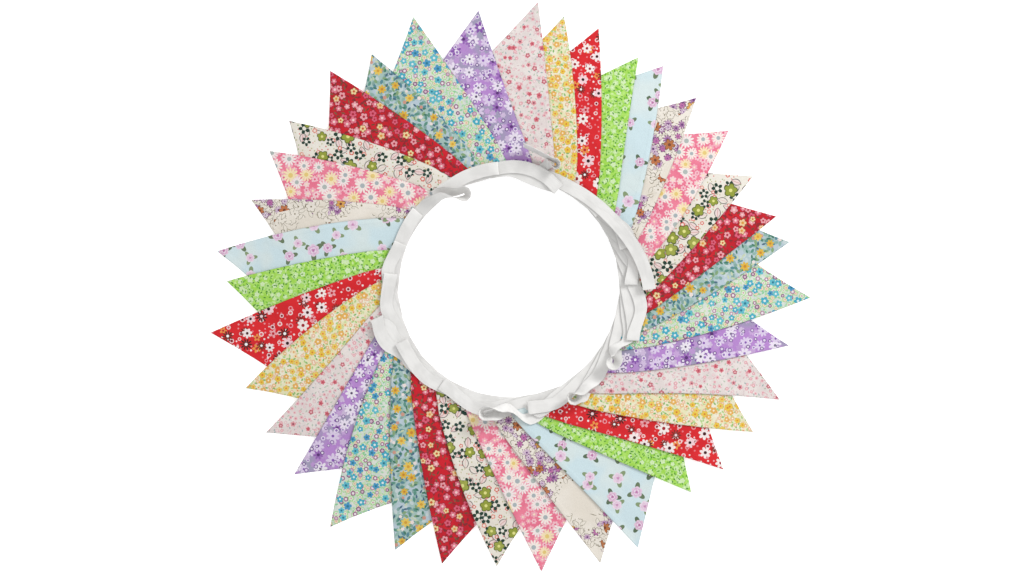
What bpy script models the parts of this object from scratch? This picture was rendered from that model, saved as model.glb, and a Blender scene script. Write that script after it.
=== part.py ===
"""Fabric bunting laid out on a table in a ring, seen from above.

Thirty-six cloth pennants hang from one long binding tape.  The tape lies in a
ring, zigzagging back on itself, so that every pennant lies over the next one
clockwise and only its clockwise side shows.  Metres, +Z up, the ring lies in
the XY plane and compass bearings run clockwise from +Y as seen from above.
"""
import math
from collections import namedtuple

import bpy

# Cloth and tape sizes.
CLOTH = 0.0010            # thickness of a lined pennant
RING_RADIUS = 0.145       # closest a pennant's sewn edge comes to the ring's centre
TAPE_WIDTH = 0.0150       # folded binding tape
TAPE_THICK = 0.0010
SEW_GAP = 0.0003          # between a pennant's sewn edge and its tape

# How the layers pile up.
LAYER = 0.0016            # rise from one layer to the next
PITCH_DEG = 10.0          # one pennant every ten degrees
ROOT_BACK_DEG = 75.0      # how far counter-clockwise of its place a pennant starts at the ring
TIP_BACK_DEG = 4.0        # the same at the tips, beyond the tip's own bearing
ROOT_REACH = 0.212        # the pile starts to thin out here
TIP_REACH = 0.335         # and is one or two layers here
TIP_BLUR_DEG = 6.5        # width over which neighbouring tips are averaged
FLAT_LEVEL = 0.75         # below this level the cloth lies flat on the table
TIE_LEVEL = 13.0          # the first free tie lies over everything at this level

# Free length between pennants.
NEAR_TURN = 0.010         # a hidden turn goes this far past the pennant's corner
FAR_TURN_DEG = 11.0       # a showing turn goes this far round past the corner
PASS_LEAN_DEG = 50.0      # lean of a loop's upper limb where it passes over the lower pennant
LIMB_STEPS = 5            # stations along each limb of an open loop
PASS_FLAT = 0.25          # share of that limb that still lies flat under the turn above
TIE_FLAT = 0.5            # share of the last tie that lies flat under the turn above

Flag = namedtuple("Flag", "print tip_deg tip_mm facing_deg hug_deg lead_mm wide_mm bow_mm")
# print       the pennant's printed cotton
# tip_deg     bearing of the tip; tip_mm its distance from the ring's centre
# facing_deg  bearing that the pennant faces, square to its sewn edge
# hug_deg     how far the sewn edge eases round the ring before it runs straight
# lead_mm     straight length from there to the clockwise corner
# wide_mm     length that its sewn edge takes up as it lies, eased in or pulled out
# bow_mm      sideways bow of the pennant, clockwise positive
FLAGS = [Flag(*row) for row in (
    ("pale_pink_ditsy", 5.8, 339, 22.2, 0.3, 0, 166, 0.9),
    ("yellow_ditsy", 11.5, 327, 23.2, 10.2, 0, 174, 6.1),
    ("red_daisy", 19.1, 324, 27.5, 6.2, 29, 182, 4.4),
    ("lime_ditsy", 29.4, 312, 35.5, 1.3, 49, 170, -1.6),
    ("blue_rose", 34.9, 319, 38.2, 1.6, 68, 218, 4.6),
    ("ivory_sketch", 44.7, 315, 49.7, 0.1, 59, 178, 4.2),
    ("pink_daisy", 54.5, 319, 59.3, 0, 62, 196, 8.5),
    ("cream_leafy", 65.6, 317, 68.7, 0.0, 71, 178, 3.2),
    ("crimson_ditsy", 75.2, 327, 80.5, 0.2, 63, 182, 1.5),
    ("teal_brush", 80.9, 336, 86.0, 0.1, 68, 204, 4.6),
    ("turquoise_ditsy", 92.0, 357, 101.3, 0.3, 48, 204, 7.5),
    ("purple_daisy", 101.8, 338, 108.2, 4.0, 52, 168, 5.0),
    ("pale_pink_ditsy", 112.6, 347, 118.9, 0.1, 65, 180, -5.2),
    ("yellow_ditsy", 120.7, 336, 126.1, 9.5, 48, 202, 5.2),
    ("red_daisy", 130.4, 333, 133.5, 8.8, 63, 192, -2.0),
    ("lime_ditsy", 138.4, 325, 141.1, 0.5, 76, 184, 1.0),
    ("blue_rose", 153.7, 344, 162.9, 0.1, 44, 210, -1.4),
    ("ivory_sketch", 161.7, 344, 170.2, 0.2, 49, 200, 1.2),
    ("pink_daisy", 173.5, 339, 181.7, 13.9, 19, 190, 1.4),
    ("cream_leafy", 182.5, 331, 187.7, 13.4, 39, 208, 8.7),
    ("crimson_ditsy", 193.6, 337, 197.6, 13.9, 50, 204, 4.4),
    ("teal_brush", 203.4, 339, 206.6, 9.0, 65, 214, 4.8),
    ("turquoise_ditsy", 216.7, 354, 224.9, 0.0, 55, 220, 9.7),
    ("purple_daisy", 228.9, 337, 237.4, 0.3, 46, 184, -0.6),
    ("pale_pink_ditsy", 239.1, 335, 248.6, 0.4, 39, 178, -3.0),
    ("yellow_ditsy", 249.0, 334, 258.5, 0.2, 39, 192, 8.4),
    ("red_daisy", 261.3, 357, 276.4, 1.6, 6, 205, 4.3),
    ("lime_ditsy", 271.2, 334, 286.1, 2.2, 0, 202, 4.8),
    ("blue_rose", 277.0, 348, 287.5, 17.2, 0, 216, 10.0),
    ("ivory_sketch", 288.7, 322, 301.2, 7.9, 0, 180, 5.4),
    ("pink_daisy", 299.6, 326, 312.3, 9.3, 0, 196, 6.2),
    ("cream_leafy", 307.1, 326, 316.1, 10.2, 17, 216, 7.9),
    ("crimson_ditsy", 320.4, 332, 332.3, 1.2, 21, 204, 4.3),
    ("teal_brush", 329.5, 320, 343.3, 4.6, 0, 194, 6.4),
    ("turquoise_ditsy", 340.5, 339, 354.2, 1.2, 12, 192, 2.9),
    ("purple_daisy", 353.7, 329, 7.5, 1.1, 9, 178, -1.8),
)]

Turn = namedtuple("Turn", "flag deg mm skew_deg spread_mm lean_deg")
# A turn of the tape that shows: flag is the upper of its two pennants, deg and
# mm place the middle of the turn, skew_deg swings it outward from running round
# the ring, spread_mm opens its two limbs.  With a lean the tape stands up on its
# fold as an open loop, its limbs that far from flat; without one it is folded flat.
TURNS = {row.flag: row for row in (Turn(*row) for row in (
    (2, 50.6, 138.9, 0, 0, 0),
    (4, 71.2, 145.3, 0, 0, 0),
    (6, 88.6, 144.0, 0, 0, 0),
    (8, 113.0, 158.5, 22, 0, 0),
    (10, 126.0, 151.0, 12, 1.8, 58),
    (12, 149.5, 150.5, 12, 6.0, 68),
    (14, 170.8, 144, 0, 0, 0),
    (16, 190.5, 150.5, 23, 6.0, 68),
    (22, 256.4, 160, 14, 4, 0),
    (28, 309.0, 139, 0, 0, 0),
    (30, 334.0, 121.5, 2, 2.4, 58),
    (32, 354.4, 140, 0, 0, 0),
    (34, 26.3, 129, -14, 6, 0),
))}

Tie = namedtuple("Tie", "flag deg mm skew_deg")
# The tape's first free end: where it ends, lying flat over everything.
FIRST_TIE = Tie(1, 91.0, 165, 8)
# Its last free end turns back on itself in a standing loop, and ends there.
LAST_TIE = Turn(36, 20.5, 154, 30, 4.0, 72)
LAST_TIE_END = (6.1, 165.0)   # bearing and distance in mm of the end's fold

PRINT_COLOURS = {
    "pale_pink_ditsy": (0.80, 0.72, 0.70),
    "yellow_ditsy": (0.85, 0.70, 0.30),
    "red_daisy": (0.72, 0.05, 0.06),
    "lime_ditsy": (0.30, 0.68, 0.12),
    "blue_rose": (0.60, 0.76, 0.84),
    "ivory_sketch": (0.80, 0.74, 0.70),
    "pink_daisy": (0.82, 0.25, 0.38),
    "cream_leafy": (0.82, 0.80, 0.70),
    "crimson_ditsy": (0.55, 0.02, 0.05),
    "teal_brush": (0.45, 0.60, 0.58),
    "turquoise_ditsy": (0.66, 0.76, 0.72),
    "purple_daisy": (0.42, 0.25, 0.62),
}
TAPE_COLOUR = (0.88, 0.87, 0.85)

# Mesh stations along a pennant's sewn edge and from its tip to that edge.
EDGE_STEPS = (0.0, 0.13, 0.26, 0.39, 0.52, 0.65, 0.77, 0.89, 1.0)
DROP_STEPS = (0.13, 0.27, 0.42, 0.57, 0.72, 0.86, 1.0)


def compass(deg, reach):
    """Point at a bearing and a distance from the ring's centre."""
    return (reach * math.sin(math.radians(deg)), reach * math.cos(math.radians(deg)))


def move(point, deg, reach):
    """The point, moved along a bearing."""
    step = compass(deg, reach)
    return (point[0] + step[0], point[1] + step[1])


def bearing(point):
    """Bearing of a point as seen from the ring's centre."""
    return math.degrees(math.atan2(point[0], point[1]))


def wrapped(deg):
    """The angle, between -180 and 180 degrees."""
    return (deg + 180.0) % 360.0 - 180.0


def eased(value):
    """Smooth step from 0 to 1."""
    value = max(0.0, min(1.0, value))
    return value * value * (3.0 - 2.0 * value)


def tip_back(deg):
    """How far behind its even place a pennant's tip lies, averaged near a bearing."""
    total = 0.0
    weight = 0.0
    for number, flag in enumerate(FLAGS, start=1):
        share = math.exp(-0.5 * (wrapped(flag.tip_deg - deg) / TIP_BLUR_DEG) ** 2)
        total += share * wrapped(PITCH_DEG * number - flag.tip_deg)
        weight += share
    return total / weight


def level(number, point):
    """Layer of a pennant's cloth or tape at a point, counted from the table."""
    deg = bearing(point)
    reach = math.hypot(point[0], point[1])
    thin = eased((reach - ROOT_REACH) / (TIP_REACH - ROOT_REACH))
    back = ROOT_BACK_DEG + (tip_back(deg) + TIP_BACK_DEG - ROOT_BACK_DEG) * thin
    return (wrapped(deg - PITCH_DEG * number) + back) / PITCH_DEG


def height(layer):
    """Height of the underside of a layer."""
    if layer <= FLAT_LEVEL:
        return 0.0
    if layer < 1.0:
        return LAYER * (layer - FLAT_LEVEL) / (1.0 - FLAT_LEVEL)
    return LAYER * layer


def sewn_edge(flag, along, inward=0.0):
    """Point and outward bearing on a sewn edge, measured from its clockwise corner."""
    lead = flag.lead_mm / 1000.0
    eased_length = RING_RADIUS * math.radians(flag.hug_deg)
    clockwise_deg = flag.facing_deg + flag.hug_deg
    if along < lead:
        foot = compass(clockwise_deg, RING_RADIUS - inward)
        return move(foot, clockwise_deg + 90.0, lead - along), clockwise_deg
    if along < lead + eased_length:
        deg = clockwise_deg - math.degrees((along - lead) / RING_RADIUS)
        return compass(deg, RING_RADIUS - inward), deg
    foot = compass(flag.facing_deg, RING_RADIUS - inward)
    rest = along - lead - eased_length
    return move(foot, flag.facing_deg - 90.0, rest), flag.facing_deg


def flag_point(flag, drop, along):
    """Point of a pennant: drop is 0 at the tip and 1 at the sewn edge."""
    tip = compass(flag.tip_deg, flag.tip_mm / 1000.0)
    edge, _ = sewn_edge(flag, along)
    middle, _ = sewn_edge(flag, 0.5 * flag.wide_mm / 1000.0)
    length = math.dist(tip, middle)
    side = ((tip[1] - middle[1]) / length, (middle[0] - tip[0]) / length)
    bow = flag.bow_mm / 1000.0 * 4.0 * drop * (1.0 - drop)
    return (tip[0] + drop * (edge[0] - tip[0]) + bow * side[0],
            tip[1] + drop * (edge[1] - tip[1]) + bow * side[1])


def flag_shape(number):
    """Vertices and faces of one pennant, a sheet that follows its layer."""
    flag = FLAGS[number - 1]
    plan = [compass(flag.tip_deg, flag.tip_mm / 1000.0)]
    for drop in DROP_STEPS:
        for step in EDGE_STEPS:
            plan.append(flag_point(flag, drop, step * flag.wide_mm / 1000.0))
    lows = [height(level(number, point)) for point in plan]
    verts = [(p[0], p[1], z) for p, z in zip(plan, lows)]
    verts += [(p[0], p[1], z + CLOTH) for p, z in zip(plan, lows)]
    top = len(plan)
    columns = len(EDGE_STEPS)
    cells = []
    for column in range(columns - 1):
        cells.append((0, 1 + column, 2 + column))
    for row in range(len(DROP_STEPS) - 1):
        for column in range(columns - 1):
            a = 1 + row * columns + column
            b = a + columns
            cells.append((a, b, b + 1))
            cells.append((a, b + 1, a + 1))
    rim = [0]
    rim += [1 + row * columns for row in range(len(DROP_STEPS))]
    last = 1 + (len(DROP_STEPS) - 1) * columns
    rim += [last + column for column in range(1, columns)]
    rim += [columns + row * columns for row in range(len(DROP_STEPS) - 2, -1, -1)]
    faces = [tuple(reversed(cell)) for cell in cells]
    faces += [tuple(index + top for index in cell) for cell in cells]
    for here, there in zip(rim, rim[1:] + rim[:1]):
        faces.append((here, there, there + top))
        faces.append((here, there + top, here + top))
    return verts, faces


def across(centre, outward_deg):
    """Inner and outer edge of the tape about its middle line."""
    half = 0.5 * TAPE_WIDTH
    return move(centre, outward_deg, -half), move(centre, outward_deg, half)


def sewn_stations(number):
    """Tape stations along a pennant, from its clockwise corner."""
    flag = FLAGS[number - 1]
    stations = []
    for step in EDGE_STEPS:
        along = step * flag.wide_mm / 1000.0
        middle, deg = sewn_edge(flag, along, SEW_GAP + 0.5 * TAPE_WIDTH)
        stations.append((middle, deg))
    return stations


def swing(start, end, steps, spread=0.0):
    """Middle line and outward bearing of free tape between two stations."""
    (x0, y0), deg0 = start
    (x1, y1), deg1 = end
    length = math.dist((x0, y0), (x1, y1))
    ahead = 1.0 if wrapped(bearing((x1, y1)) - bearing((x0, y0))) > 0 else -1.0
    dx0, dy0 = compass(deg0 + 90.0 * ahead, length)
    dx1, dy1 = compass(deg1 + 90.0 * ahead, length)
    stations = []
    for index in range(1, steps):
        u = index / steps
        h00 = 2 * u ** 3 - 3 * u ** 2 + 1
        h10 = u ** 3 - 2 * u ** 2 + u
        h01 = -2 * u ** 3 + 3 * u ** 2
        h11 = u ** 3 - u ** 2
        x = h00 * x0 + h10 * dx0 + h01 * x1 + h11 * dx1
        y = h00 * y0 + h10 * dy0 + h01 * y1 + h11 * dy1
        deg = deg0 + wrapped(deg1 - deg0) * u
        middle = move((x, y), deg, spread * math.sin(math.pi * u))
        stations.append((middle, deg))
    return stations


def laid(number, station, cap=None):
    """A tape station on its layer: inner low, inner high, outer high, outer low."""
    middle, deg = station
    inner, outer = across(middle, deg)
    points = []
    for plan in (inner, outer):
        layer = level(number, plan)
        if cap is not None:
            layer = min(layer, cap)
        points.append((plan, height(layer)))
    (inner, low_in), (outer, low_out) = points
    return [(inner[0], inner[1], low_in), (inner[0], inner[1], low_in + TAPE_THICK),
            (outer[0], outer[1], low_out + TAPE_THICK), (outer[0], outer[1], low_out)]


def faced(ring, number):
    """Order a station so the same face of the tape stays on the same side."""
    return ring if number % 2 else [ring[1], ring[0], ring[3], ring[2]]


def turned(upper, ahead_deg):
    """Round the fold from the layer of the upper pennant to the layer below."""
    stations = []
    inner, outer = across(*upper[1])
    ahead = compass(ahead_deg, 1.0)
    for fold in (30.0, 90.0, 150.0):
        sine = math.sin(math.radians(fold))
        cosine = math.cos(math.radians(fold))
        ring = []
        for plan in (inner, outer):
            high = height(level(upper[0], plan))
            low = height(level(upper[0] + 1, plan)) + TAPE_THICK
            centre = 0.5 * (high + low)
            near = 0.5 * (high - low)
            far = near + TAPE_THICK
            for radius in (near, far):
                ring.append((plan[0] + ahead[0] * radius * sine,
                             plan[1] + ahead[1] * radius * sine,
                             centre + radius * cosine))
        stations.append([ring[0], ring[1], ring[3], ring[2]])
    return stations


def curve(start, start_deg, end, end_deg, share):
    """Point on a smooth path between two points, and the bearing square to it."""
    length = math.dist(start, end)
    dx0, dy0 = compass(start_deg + 90.0, length)
    dx1, dy1 = compass(end_deg + 90.0, length)
    h00 = 2 * share ** 3 - 3 * share ** 2 + 1
    h10 = share ** 3 - 2 * share ** 2 + share
    h01 = -2 * share ** 3 + 3 * share ** 2
    h11 = share ** 3 - share ** 2
    point = (h00 * start[0] + h10 * dx0 + h01 * end[0] + h11 * dx1,
             h00 * start[1] + h10 * dy0 + h01 * end[1] + h11 * dy1)
    return point, start_deg + wrapped(end_deg - start_deg) * share


def leaning(number, fold, outward_deg, lean_deg, way, lift=0.0):
    """A tape station that stands on its fold, its open edge leaning outward."""
    sine = math.sin(math.radians(lean_deg))
    cosine = math.cos(math.radians(lean_deg))
    out = compass(outward_deg, 1.0)
    half = 0.5 * TAPE_THICK
    low = height(level(number, fold))
    flat_edge = height(level(number, move(fold, outward_deg, TAPE_WIDTH)))
    slope = (flat_edge - low) / TAPE_WIDTH
    middle = low + half + lift
    ring = []
    for reach, side in ((0.0, -way), (0.0, way), (TAPE_WIDTH, way), (TAPE_WIDTH, -way)):
        plan = reach * cosine - side * half * sine
        up = reach * (sine + slope * cosine) + side * half * cosine
        ring.append((fold[0] + out[0] * plan, fold[1] + out[1] * plan, middle + up))
    return ring


def round_end(row, outward_deg, low_first, low_last):
    """Stations round the end of an open loop, from its inner limb to its outer."""
    centre = compass(row.deg, row.mm / 1000.0)
    rings = []
    for turn in (0.0, 36.0, 72.0, 108.0, 144.0, 180.0):
        away = outward_deg + 180.0 - turn
        fold = move(centre, away, 0.0005 * row.spread_mm)
        low = low_first + (low_last - low_first) * turn / 180.0
        lift = low - height(level(row.flag, fold))
        ring = leaning(row.flag, fold, away, row.lean_deg, 1.0, lift)
        rings.append(ring)
    return rings


def open_loop(number, row, sewn_end, following):
    """Tape from one pennant round a standing loop to the pennant below it."""
    centre = compass(row.deg, row.mm / 1000.0)
    outward = row.deg - row.skew_deg
    upper_fold = across(*sewn_end)[0]
    lower_fold = across(*following)[0]
    outer_fold = move(centre, outward, 0.0005 * row.spread_mm)
    rings = []
    for index in range(1, LIMB_STEPS + 1):
        share = index / LIMB_STEPS
        fold, deg = curve(upper_fold, sewn_end[1], lower_fold, following[1], share)
        lean = PASS_LEAN_DEG * eased((share - PASS_FLAT) / (1.0 - PASS_FLAT))
        rings.append(leaning(number, fold, deg, lean, -1.0))
    for index in range(1, LIMB_STEPS):
        share = index / LIMB_STEPS
        fold, deg = curve(lower_fold, following[1], outer_fold, outward, share)
        fold = move(fold, deg, -0.001 * row.spread_mm * eased(share))
        lean = PASS_LEAN_DEG + (180.0 - row.lean_deg - PASS_LEAN_DEG) * eased(share)
        rings.append(leaning(number, fold, deg, lean, -1.0))
    inner_fold = move(centre, outward, -0.0005 * row.spread_mm)
    low_first = height(level(number, inner_fold))
    low_last = height(level(number + 1, outer_fold))
    rings += round_end(row, outward, low_first, low_last)
    for index in range(LIMB_STEPS - 1, 0, -1):
        share = index / LIMB_STEPS
        fold, deg = curve(lower_fold, following[1], outer_fold, outward, share)
        rings.append(leaning(number + 1, fold, deg, row.lean_deg * eased(share), 1.0))
    return rings


def last_tie(sewn_end):
    """The tape's last free end, which loops back and stands over its own pennant."""
    row = LAST_TIE
    centre = compass(row.deg, row.mm / 1000.0)
    outward = row.deg - row.skew_deg
    start = across(*sewn_end)[0]
    inner_fold = move(centre, outward, -0.0005 * row.spread_mm)
    outer_fold = move(centre, outward, 0.0005 * row.spread_mm)
    rings = []
    for index in range(1, 2 * LIMB_STEPS):
        share = 0.5 * index / LIMB_STEPS
        fold, deg = curve(start, sewn_end[1], inner_fold, outward, share)
        lean = (180.0 - row.lean_deg) * eased((share - TIE_FLAT) / (1.0 - TIE_FLAT))
        rings.append(leaning(row.flag, fold, deg, lean, -1.0))
    low = height(level(row.flag, inner_fold))
    rings += round_end(row, outward, low, low + LAYER)
    end = compass(LAST_TIE_END[0], LAST_TIE_END[1] / 1000.0)
    top = height(level(row.flag, outer_fold))
    for index in range(1, LIMB_STEPS + 1):
        share = index / LIMB_STEPS
        fold = (outer_fold[0] + (end[0] - outer_fold[0]) * share,
                outer_fold[1] + (end[1] - outer_fold[1]) * share)
        lift = LAYER + max(0.0, top - height(level(row.flag, fold)))
        rings.append(leaning(row.flag, fold, outward, row.lean_deg, 1.0, lift))
    return rings


def tape_stations():
    """All stations of the one tape, from its first free end to its last."""
    rings = []
    end_deg = FIRST_TIE.deg
    end = (compass(end_deg, FIRST_TIE.mm / 1000.0), end_deg - FIRST_TIE.skew_deg)
    start = sewn_stations(1)[0]
    free = [end] + list(reversed(swing(start, end, 12)))
    rings += [faced(laid(1, station, TIE_LEVEL), 1) for station in free]
    for number in range(1, len(FLAGS) + 1):
        sewn = sewn_stations(number)
        if number % 2 == 0:
            sewn = list(reversed(sewn))
        rings += [faced(laid(number, station), number) for station in sewn]
        if number == len(FLAGS):
            break
        following = sewn_stations(number + 1)
        row = TURNS.get(number)
        if number % 2:
            corner, deg = sewn[-1]
            turn = (move(corner, deg - 90.0, NEAR_TURN), deg)
            rings.append(faced(laid(number, turn), number))
            fold = turned((number, turn), deg - 90.0)
            rings += [[ring[0], ring[1], ring[2], ring[3]] for ring in fold]
            rings.append(faced(laid(number + 1, turn), number + 1))
            back = swing(following[-1], turn, 4)
            rings += [faced(laid(number + 1, s), number + 1) for s in reversed(back)]
        elif row and row.lean_deg:
            rings += open_loop(number, row, sewn[-1], following[0])
        else:
            corner = following[0][0]
            deg = bearing(corner) + FAR_TURN_DEG
            reach = 0.5 * (math.hypot(*corner) + RING_RADIUS - 0.5 * TAPE_WIDTH)
            turn = (compass(deg, reach), deg)
            spread = 0.0
            if row:
                turn = (compass(row.deg, row.mm / 1000.0), row.deg - row.skew_deg)
                spread = row.spread_mm / 1000.0
            out = swing(sewn[-1], turn, 5, spread)
            rings += [faced(laid(number, s), number) for s in out]
            rings.append(faced(laid(number, turn), number))
            fold = turned((number, turn), turn[1] + 90.0)
            rings += [[ring[1], ring[0], ring[3], ring[2]] for ring in fold]
            rings.append(faced(laid(number + 1, turn), number + 1))
            back = swing(following[0], turn, 4, -spread)
            rings += [faced(laid(number + 1, s), number + 1) for s in reversed(back)]
    rings += last_tie(sewn_stations(len(FLAGS))[0])
    return rings


def tape_shape():
    """Vertices and faces of the tape, a flat strip with folds."""
    rings = tape_stations()
    verts = [point for ring in rings for point in ring]
    faces = []
    for index in range(len(rings) - 1):
        here = index * 4
        there = here + 4
        for side in range(4):
            a = here + side
            b = here + (side + 1) % 4
            c = there + (side + 1) % 4
            d = there + side
            if side == 3:
                faces.append((a, b, d))
                faces.append((b, c, d))
            else:
                faces.append((a, b, c))
                faces.append((a, c, d))
    last = (len(rings) - 1) * 4
    faces.append((2, 1, 0))
    faces.append((3, 2, 0))
    faces.append((last, last + 1, last + 2))
    faces.append((last, last + 2, last + 3))
    return verts, faces


def six_volume(verts, faces):
    """Six times the volume that the faces enclose."""
    total = 0.0
    for a, b, c in faces:
        (ax, ay, az), (bx, by, bz), (cx, cy, cz) = verts[a], verts[b], verts[c]
        total += ax * (by * cz - bz * cy) - ay * (bx * cz - bz * cx) + az * (bx * cy - by * cx)
    return total


def material(name, colour):
    """Plain cotton of one colour."""
    cotton = bpy.data.materials.new(name)
    cotton.use_nodes = True
    shader = cotton.node_tree.nodes["Principled BSDF"]
    shader.inputs["Base Color"].default_value = (*colour, 1.0)
    shader.inputs["Roughness"].default_value = 0.85
    shader.inputs["Metallic"].default_value = 0.0
    return cotton


def node(name, shape, colour, shift):
    """One solid as an object of its own."""
    verts, faces = shape
    if six_volume(verts, faces) < 0.0:
        faces = [tuple(reversed(face)) for face in faces]
    mesh = bpy.data.meshes.new(name)
    mesh.from_pydata([(x - shift[0], y - shift[1], z) for x, y, z in verts], [], faces)
    mesh.update()
    mesh.materials.append(material(name + "_cotton", colour))
    solid = bpy.data.objects.new(name, mesh)
    bpy.context.scene.collection.objects.link(solid)


for old in list(bpy.data.objects):
    bpy.data.objects.remove(old)

shapes = {f"flag_{n:02d}": flag_shape(n) for n in range(1, len(FLAGS) + 1)}
shapes["binding_tape"] = tape_shape()
xs = [vert[0] for verts, _ in shapes.values() for vert in verts]
ys = [vert[1] for verts, _ in shapes.values() for vert in verts]
middle_of_all = (0.5 * (min(xs) + max(xs)), 0.5 * (min(ys) + max(ys)))
for number, flag in enumerate(FLAGS, start=1):
    key = f"flag_{number:02d}"
    node(key, shapes[key], PRINT_COLOURS[flag.print], middle_of_all)
node("binding_tape", shapes["binding_tape"], TAPE_COLOUR, middle_of_all)
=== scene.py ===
"""Cotton pennant bunting laid out in a ring: cloth, prints, binding tape, stitching and studio.

Metres, +Z up, the cloth lies on the XY plane and is seen from straight above.
The pennants come first, one section for each printed cotton, then the tape.
"""

import math
from itertools import permutations

import bmesh
import bpy
import numpy as np
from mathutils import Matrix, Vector
from mathutils.kdtree import KDTree


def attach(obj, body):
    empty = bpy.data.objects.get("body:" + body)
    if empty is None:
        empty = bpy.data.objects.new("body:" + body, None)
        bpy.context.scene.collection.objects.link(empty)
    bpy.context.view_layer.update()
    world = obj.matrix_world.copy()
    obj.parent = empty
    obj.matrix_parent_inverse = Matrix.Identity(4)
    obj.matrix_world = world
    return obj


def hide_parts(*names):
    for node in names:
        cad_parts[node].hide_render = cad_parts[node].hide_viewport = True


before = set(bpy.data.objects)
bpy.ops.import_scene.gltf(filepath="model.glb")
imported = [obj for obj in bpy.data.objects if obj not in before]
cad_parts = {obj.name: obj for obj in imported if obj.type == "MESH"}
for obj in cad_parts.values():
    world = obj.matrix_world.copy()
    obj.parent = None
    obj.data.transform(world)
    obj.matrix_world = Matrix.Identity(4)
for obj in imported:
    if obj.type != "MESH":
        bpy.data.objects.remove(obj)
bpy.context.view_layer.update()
bpy.ops.object.select_all(action="DESELECT")

# ---------------------------------------------------------------------------
# Pale pink ditsy pennants, the 1st, 13th and 25th on the tape.
# Each is two triangles of light cotton lawn sewn face to face, turned right
# side out and pressed, so its two long edges are rolled seams.
# ---------------------------------------------------------------------------
SOLID_THICK = 0.0010        # the solid's sheet, thicker than the cloth
CLOTH_THINNER = 0.0003      # the cloth's top face lies this far under the solid's
PILE_LIFT = 0.00015         # off the table the cloth lies this much higher in its layer
SEWN_WITHIN = 0.0009        # an edge this near to the tape is sewn to it
SEAM_DEPTH = 0.0040         # sewn edge goes this far into the folded tape
ROLLED_EDGE = 0.0003
RIPPLE = 0.00012            # the cloth is pressed, so it ripples very little
SEAM_ALLOWANCE = 0.0060     # turned-in cloth along the seams, seen as a faint step
INKED = 0.74                # printed cotton gives back this share of its ink's full colour
THREAD = 0.0009             # real threads are 0.3 mm apart, too fine to show, so drawn coarser


def linear(hex_colour, alpha=1.0):
    """An sRGB hex colour as linear RGBA."""
    parts = [int(hex_colour[i:i + 2], 16) / 255.0 for i in (1, 3, 5)]
    return tuple(c / 12.92 if c <= 0.04045 else ((c + 0.055) / 1.055) ** 2.4 for c in parts) + (alpha,)


def wire(tree, node, inputs):
    """Sets or links a node's inputs."""
    for name, value in inputs.items():
        if isinstance(value, bpy.types.NodeSocket):
            tree.links.new(value, node.inputs[name])
        else:
            node.inputs[name].default_value = value


def add(tree, kind, inputs=None, **settings):
    """Adds a shader node with its settings, and sets or links its inputs."""
    made = tree.nodes.new(kind)
    for name, value in settings.items():
        setattr(made, name, value)
    wire(tree, made, inputs or {})
    return made


def motif_group(name):
    """An empty node group for a printed motif, repeated at random places on the cloth."""
    group = bpy.data.node_groups.new(name, "ShaderNodeTree")
    face = group.interface
    face.new_socket("Cloth", in_out="INPUT", socket_type="NodeSocketVector")
    face.new_socket("Shift", in_out="INPUT", socket_type="NodeSocketVector")
    for number in ("Per metre", "Radius", "Petals", "Notch", "Round", "Centre", "Outline", "Share"):
        face.new_socket(number, in_out="INPUT", socket_type="NodeSocketFloat")
    for output in ("Petal", "Edge", "Middle", "Pick"):
        face.new_socket(output, in_out="OUTPUT", socket_type="NodeSocketFloat")
    return group


# A flower: petals round a centre, each flower turned and sized by chance.
flower = motif_group("printed_flower")
given = add(flower, "NodeGroupInput")
spread = add(flower, "ShaderNodeVectorMath", {0: given.outputs["Cloth"], "Scale": given.outputs["Per metre"]},
             operation="SCALE")
shifted = add(flower, "ShaderNodeVectorMath", {0: spread.outputs[0], 1: given.outputs["Shift"]},
              operation="ADD")
cells = add(flower, "ShaderNodeTexVoronoi", {"Vector": shifted.outputs[0], "Scale": 1.0, "Randomness": 0.72},
            voronoi_dimensions="2D", feature="F1")
local = add(flower, "ShaderNodeVectorMath", {0: shifted.outputs[0], 1: cells.outputs["Position"]},
            operation="SUBTRACT")
flat = add(flower, "ShaderNodeSeparateXYZ", {0: local.outputs[0]})
chance = add(flower, "ShaderNodeSeparateColor", {0: cells.outputs["Color"]})
bearing = add(flower, "ShaderNodeMath", {0: flat.outputs[1], 1: flat.outputs[0]}, operation="ARCTAN2")
turned = add(flower, "ShaderNodeMath", {0: chance.outputs[0], 1: 2 * math.pi, 2: bearing.outputs[0]},
             operation="MULTIPLY_ADD")
grown = add(flower, "ShaderNodeMath", {0: chance.outputs[2], 1: 0.35, 2: 0.82}, operation="MULTIPLY_ADD")
sized = add(flower, "ShaderNodeMath", {0: given.outputs["Radius"], 1: grown.outputs[0]}, operation="MULTIPLY")
reach = add(flower, "ShaderNodeMath", {0: cells.outputs["Distance"], 1: sized.outputs[0]}, operation="DIVIDE")
half_petals = add(flower, "ShaderNodeMath", {0: given.outputs["Petals"], 1: 0.5}, operation="MULTIPLY")
swept = add(flower, "ShaderNodeMath", {0: turned.outputs[0], 1: half_petals.outputs[0]}, operation="MULTIPLY")
wave = add(flower, "ShaderNodeMath", {0: swept.outputs[0]}, operation="COSINE")
lobe = add(flower, "ShaderNodeMath", {0: wave.outputs[0]}, operation="ABSOLUTE")
rounded = add(flower, "ShaderNodeMath", {0: lobe.outputs[0], 1: given.outputs["Round"]}, operation="POWER")
cut_in = add(flower, "ShaderNodeMath", {0: 1.0, 1: rounded.outputs[0]}, operation="SUBTRACT")
notched = add(flower, "ShaderNodeMath", {0: cut_in.outputs[0], 1: given.outputs["Notch"]},
              operation="MULTIPLY")
rim = add(flower, "ShaderNodeMath", {0: 1.0, 1: notched.outputs[0]}, operation="SUBTRACT")
inside = add(flower, "ShaderNodeMath", {0: reach.outputs[0], 1: rim.outputs[0]}, operation="LESS_THAN")
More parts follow.
